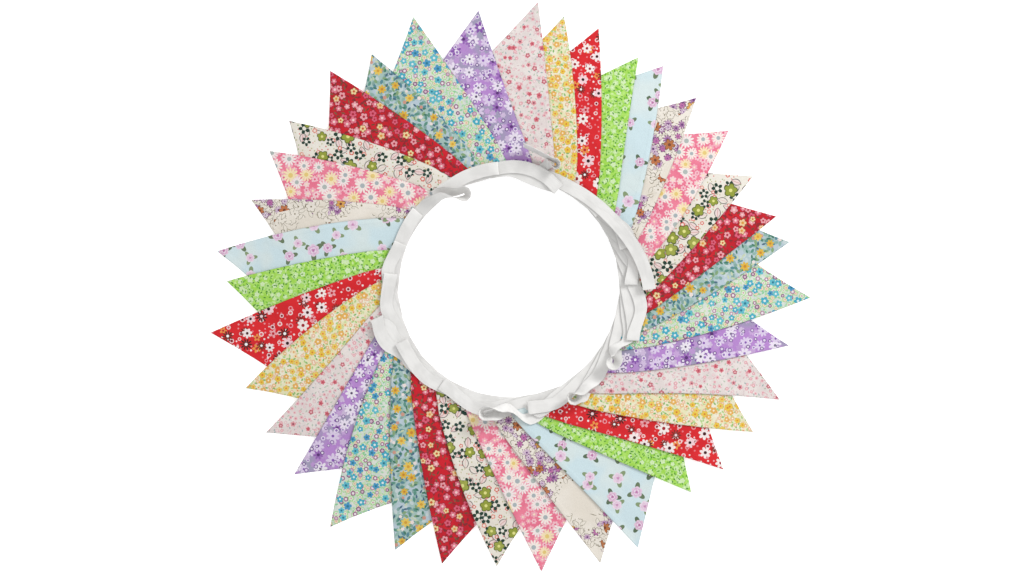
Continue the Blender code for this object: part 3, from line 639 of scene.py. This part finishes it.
# ---------------------------------------------------------------------------
# Binding tape and its stitching.
# One long strip of white cotton, 30 mm wide and folded to 15 mm, with the
# pennants' raw edges between its two plies and one row of stitches through all.
# ---------------------------------------------------------------------------
TAPE_PLY = 0.00030
STATION_EVERY = 0.0065
STITCH_EVERY = 0.0030
STITCH_LONG = 0.0022
STITCH_IN = 0.0017              # from the sewn edge
# across_mm is measured from the fold, and opens is how far the plies part there to hold a pennant
PLY_POINTS = ((0.25, 0.0), (1.2, 0.0), (3.8, 0.0), (7.0, 0.05), (10.0, 0.6), (12.6, 1.0), (13.5, 0.75),
              (14.3, 1.0),
              (15.3, 1.0))


def tape_sections(work):
    """The CAD tape's cross-sections in order, four corners each: two on the fold, two on the open edge."""
    work.verts.ensure_lookup_table()
    place = [vert.co.copy() for vert in work.verts]
    joined = {vert.index: {edge.other_vert(vert).index for edge in vert.link_edges} for vert in work.verts}
    first = [index for index, others in joined.items() if len(others) < 6 and place[index].x < 0.12]
    start = next(index for index in first if len(joined[index] & set(first)) == 2)
    left, right = joined[start] & set(first)
    last = (set(first) - {start, left, right}).pop()
    cycle = [start, left, last, right]
    orders = [[cycle[(turn + way * step) % 4] for step in range(4)] for turn in range(4) for way in (1, -1)]

    def ahead(ring, used):
        found = set().union(*(joined[index] for index in ring)) - used
        if len(found) != 4:
            return None
        fits = [order for order in permutations(found) if all(b in joined[a] for a, b in zip(ring, order))]
        return min(fits, key=lambda order: sum((place[a] - place[b]).length for a, b in zip(ring, order)))

    best = None
    for order in orders:
        fold = (place[order[0]] - place[order[1]]).length
        inner = place[order[0]].xy.length < place[order[2]].xy.length
        following = ahead(order, set(first))
        if fold < 0.003 and inner and following:
            drift = sum((place[a] - place[b]).length for a, b in zip(order, following))
            if best is None or drift < best[0]:
                best = (drift, order)
    ring = best[1]
    rings, used = [ring], set(ring)
    while True:
        ring = ahead(ring, used)
        if not ring:
            break
        used |= set(ring)
        rings.append(ring)
    return np.array([[place[index] for index in ring] for ring in rings], float)


def drawn_through(points):
    """A smooth run through the sections, with a station every few millimetres."""
    middle = points.mean(axis=1)
    gaps = np.maximum(np.linalg.norm(np.diff(middle, axis=0), axis=1), 1e-5)
    slopes = np.diff(points, axis=0) / gaps[:, None, None]
    tangents = np.concatenate([slopes[:1], np.zeros_like(slopes[1:]), slopes[-1:]])
    before, after = gaps[:-1, None, None], gaps[1:, None, None]
    tangents[1:-1] = (slopes[:-1] * after + slopes[1:] * before) / (before + after)
    run = []
    for index, gap in enumerate(gaps):
        steps = max(1, math.ceil(gap / STATION_EVERY))
        for step in range(steps):
            u = step / steps
            run.append((2 * u ** 3 - 3 * u ** 2 + 1) * points[index]
                       + (u ** 3 - 2 * u ** 2 + u) * gap * tangents[index]
                       + (3 * u ** 2 - 2 * u ** 3) * points[index + 1]
                       + (u ** 3 - u ** 2) * gap * tangents[index + 1])
    run.append(points[-1])
    return np.array(run)


sections = drawn_through(tape_sections(tape_work))
tape_work.free()
bpy.data.meshes.remove(tape_mesh)
fold_line = 0.5 * (sections[:, 0] + sections[:, 1])
open_line = 0.5 * (sections[:, 2] + sections[:, 3])
face_way = (sections[:, 1] - sections[:, 0]) + (sections[:, 2] - sections[:, 3])
face_way /= np.linalg.norm(face_way, axis=1)[:, None]
across_way = open_line - fold_line
across_way /= np.linalg.norm(across_way, axis=1)[:, None]
run_length = np.concatenate([[0.0], np.cumsum(np.linalg.norm(np.diff(open_line, axis=0), axis=1))])

sewn_tree = KDTree(len(sewn_places))
for index, place in enumerate(sewn_places):
    sewn_tree.insert(place, index)
sewn_tree.balance()
holds = np.array([max(0.0, min(1.0, 2.2 - sewn_tree.find(Vector(p))[2] / 0.009)) for p in open_line])

# A long strip is never quite straight: it wanders a few tenths of a millimetre.
wander = 0.00022 * np.sin(run_length / 0.031) + 0.00018 * np.sin(run_length / 0.0137 + 1.3)
lift = 0.00006 * np.sin(run_length / 0.011 + 0.7)


def tape_point(station, across_mm, out):
    """A point of the tape: out is its height from the middle plane."""
    reach = across_mm / 1000.0 + wander[station] - 0.0001
    return fold_line[station] + across_way[station] * reach + face_way[station] * (out + lift[station])


ply_loop = []
for across_mm, opens in PLY_POINTS[::-1]:
    ply_loop.append((across_mm, opens, 1.0, 1.0))
ply_loop.append((0.0, 0.0, 1.0, 0.0))
for across_mm, opens in PLY_POINTS:
    ply_loop.append((across_mm, opens, -1.0, 1.0))
for across_mm, opens in PLY_POINTS[::-2][:-1]:
    ply_loop.append((across_mm, opens, -1.0, 0.0))
ply_loop.append((0.6, 0.0, 1.0, -0.05))
for across_mm, opens in PLY_POINTS[2::2]:
    ply_loop.append((across_mm, opens, 1.0, 0.0))

verts = []
for station in range(len(fold_line)):
    for across_mm, opens, side, outer in ply_loop:
        inner_face = 0.00006 + 0.00029 * opens * holds[station]
        out = side * (inner_face + TAPE_PLY * outer)
        if (across_mm, outer) == (0.0, 0.0):
            out = 0.0
        verts.append(tape_point(station, across_mm, out))
        verts[-1][2] = max(verts[-1][2], 0.0)
size = len(ply_loop)
faces = []
for station in range(len(fold_line) - 1):
    here, there = station * size, (station + 1) * size
    for index in range(size):
        following = (index + 1) % size
        faces.append((here + index, here + following, there + following, there + index))
faces.append(tuple(range(size))[::-1])
last = (len(fold_line) - 1) * size
faces.append(tuple(range(last, last + size)))
mesh = bpy.data.meshes.new("folded_tape")
mesh.from_pydata([tuple(v) for v in verts], [], faces)
work = bmesh.new()
work.from_mesh(mesh)
bmesh.ops.triangulate(work, faces=[face for face in work.faces if len(face.verts) > 4])
bmesh.ops.recalc_face_normals(work, faces=work.faces)
for face in work.faces:
    face.smooth = True
work.to_mesh(mesh)
work.free()
mesh.set_sharp_from_angle(angle=math.radians(50.0))
layer = mesh.uv_layers.new(name="cloth")
ways = [(run_length[station], point[0] / 1000.0 * point[2])
        for station in range(len(fold_line)) for point in ply_loop]
corners = np.zeros(len(mesh.loops), np.int32)
mesh.loops.foreach_get("vertex_index", corners)
layer.data.foreach_set("uv", np.array(ways, np.float32)[corners].ravel())
tape = bpy.data.objects.new("folded_tape", mesh)
bpy.context.scene.collection.objects.link(tape)

# Bleached cotton tape, plain woven and pressed: matt white with faint creases across it.
white_cotton = bpy.data.materials.new("white_cotton_tape")
white_cotton.use_nodes = True
tree = white_cotton.node_tree
shader = tree.nodes["Principled BSDF"]
shader.inputs["Roughness"].default_value = 0.8
shader.inputs["Specular IOR Level"].default_value = 0.3
shader.inputs["Sheen Weight"].default_value = 0.15
cloth = add(tree, "ShaderNodeUVMap", uv_map="cloth").outputs[0]
tone = mottled(tree, cloth, 35.0, "#D6D5D3", "#CDCCCA")
tree.links.new(tone, shader.inputs["Base Color"])
weave = add(tree, "ShaderNodeVectorMath", {0: cloth, "Scale": math.pi / THREAD}, operation="SCALE")
ways = add(tree, "ShaderNodeSeparateXYZ", {0: weave.outputs[0]})
warp = add(tree, "ShaderNodeMath", {0: ways.outputs[0]}, operation="SINE")
weft = add(tree, "ShaderNodeMath", {0: ways.outputs[1]}, operation="SINE")
threads = add(tree, "ShaderNodeMath", {0: warp.outputs[0], 1: weft.outputs[0]}, operation="MULTIPLY")
fine = add(tree, "ShaderNodeBump", {"Height": threads.outputs[0], "Strength": 0.35, "Distance": 0.0001})
stretched = add(tree, "ShaderNodeMapping", {0: cloth, 3: (0.3, 1.0, 1.0)})
crease = add(tree, "ShaderNodeTexNoise", {"Vector": stretched.outputs[0], "Scale": 260.0, "Detail": 2.0},
             noise_dimensions="2D")
creased = add(tree, "ShaderNodeBump", {"Height": crease.outputs[0], "Strength": 0.35, "Distance": 0.0009,
                                       "Normal": fine.outputs[0]})
tree.links.new(creased.outputs[0], shader.inputs["Normal"])
mesh.materials.append(white_cotton)

# One stitch is a short spindle of thread, and the row runs the tape's whole length on both faces.
verts, faces = [], []
station = 0
count = int(run_length[-1] / STITCH_EVERY)
for stitch in range(count):
    centre = (stitch + 0.5) * STITCH_EVERY
    while station < len(run_length) - 2 and run_length[station + 1] < centre:
        station += 1
    share = (centre - run_length[station]) / max(1e-6, run_length[station + 1] - run_length[station])
    forward = open_line[station + 1] - open_line[station]
    forward = forward / max(1e-9, np.linalg.norm(forward))
    across_mm = 15.0 - STITCH_IN * 1000.0
    for side in (1.0, -1.0):
        out = side * (0.00006 + 0.00026 * 0.75 * holds[station] + TAPE_PLY)
        here = tape_point(station, across_mm, out)
        there = tape_point(station + 1, across_mm, out)
        middle = here + share * (there - here)
        way, up = across_way[station], face_way[station] * side
        base = len(verts)
        half = 0.5 * STITCH_LONG
        for offset in (forward * -half, way * 0.00022, up * 0.00024, way * -0.00022, up * -0.0001,
                       forward * half):
            x, y, z = middle + offset
            verts.append((x, y, max(z, 0.0)))
        ring = [base + 1, base + 2, base + 3, base + 4]
        for a, b in zip(ring, ring[1:] + ring[:1]):
            faces.append((base, a, b))
            faces.append((base + 5, b, a))
mesh = bpy.data.meshes.new("tape_stitching")
mesh.from_pydata(verts, [], faces)
work = bmesh.new()
work.from_mesh(mesh)
bmesh.ops.recalc_face_normals(work, faces=work.faces)
for face in work.faces:
    face.smooth = True
work.to_mesh(mesh)
work.free()
stitching = bpy.data.objects.new("tape_stitching", mesh)
bpy.context.scene.collection.objects.link(stitching)
# Polyester sewing thread: smoother than the cotton, so it catches a little light.
thread_white = bpy.data.materials.new("white_sewing_thread")
thread_white.use_nodes = True
tree = thread_white.node_tree
shader = tree.nodes["Principled BSDF"]
shader.inputs["Roughness"].default_value = 0.5
place = add(tree, "ShaderNodeTexCoord").outputs["Object"]
grain = add(tree, "ShaderNodeTexNoise", {"Vector": place, "Scale": 2500.0})
ply = add(tree, "ShaderNodeMapRange", {0: grain.outputs[0], 1: 0.3, 2: 0.7, 3: 0.0, 4: 1.0})
tree.links.new(blended(tree, ply.outputs[0], linear("#DEDCD6"), linear("#EFEEEA")),
               shader.inputs["Base Color"])
mesh.materials.append(thread_white)

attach(tape, "root")
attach(stitching, "root")
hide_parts("binding_tape")

# ---------------------------------------------------------------------------
# Studio: a white table, soft light from the upper right and a camera overhead.
# ---------------------------------------------------------------------------
PIXEL = 0.00118             # of the photograph, in metres on the table
WIDE = 1021 * PIXEL
LENS, SENSOR = 85.0, 36.0

bpy.ops.mesh.primitive_plane_add(size=6.0, location=(0.0, 0.0, 0.0))
floor = bpy.context.active_object
floor.name = "table_top"
floor.data.transform(floor.matrix_world)
floor.matrix_world.identity()
for vert in floor.data.vertices:
    vert.co.z = -0.0002
white = bpy.data.materials.new("white_table")
white.use_nodes = True
tree = white.node_tree
place = add(tree, "ShaderNodeTexCoord").outputs["Object"]
noise = add(tree, "ShaderNodeTexNoise", {"Vector": place, "Scale": 3.0})
tree.links.new(blended(tree, noise.outputs[0], linear("#FBFBFB"), linear("#FDFDFD")),
               tree.nodes["Principled BSDF"].inputs["Base Color"])
tree.nodes["Principled BSDF"].inputs["Roughness"].default_value = 0.9
# The table glows a little, as a light box does, so the cloth hardly shades it.
tree.nodes["Principled BSDF"].inputs["Emission Color"].default_value = (1.0, 1.0, 1.0, 1.0)
tree.nodes["Principled BSDF"].inputs["Emission Strength"].default_value = 0.35
floor.data.materials.append(white)

world = bpy.data.worlds.new("soft_room")
bpy.context.scene.world = world
world.use_nodes = True
world.node_tree.nodes["Background"].inputs[0].default_value = (1.0, 1.0, 1.0, 1.0)
world.node_tree.nodes["Background"].inputs[1].default_value = 0.95

lamp = bpy.data.lights.new("key_light", "AREA")
lamp.size = 1.3
lamp.energy = 130.0
key_light = bpy.data.objects.new("key_light", lamp)
bpy.context.scene.collection.objects.link(key_light)
key_light.location = (3.0, 2.5, 2.2)
key_light.rotation_euler = (-key_light.location).to_track_quat("-Z", "Y").to_euler()
key_light.visible_camera = False

lens = bpy.data.cameras.new("overhead")
lens.lens = LENS
lens.sensor_width = SENSOR
camera = bpy.data.objects.new("overhead", lens)
bpy.context.scene.collection.objects.link(camera)
camera.location = (-0.0002, -0.0008, 0.008 + WIDE * LENS / SENSOR)
bpy.context.scene.camera = camera
bpy.context.scene.view_settings.view_transform = "Standard"
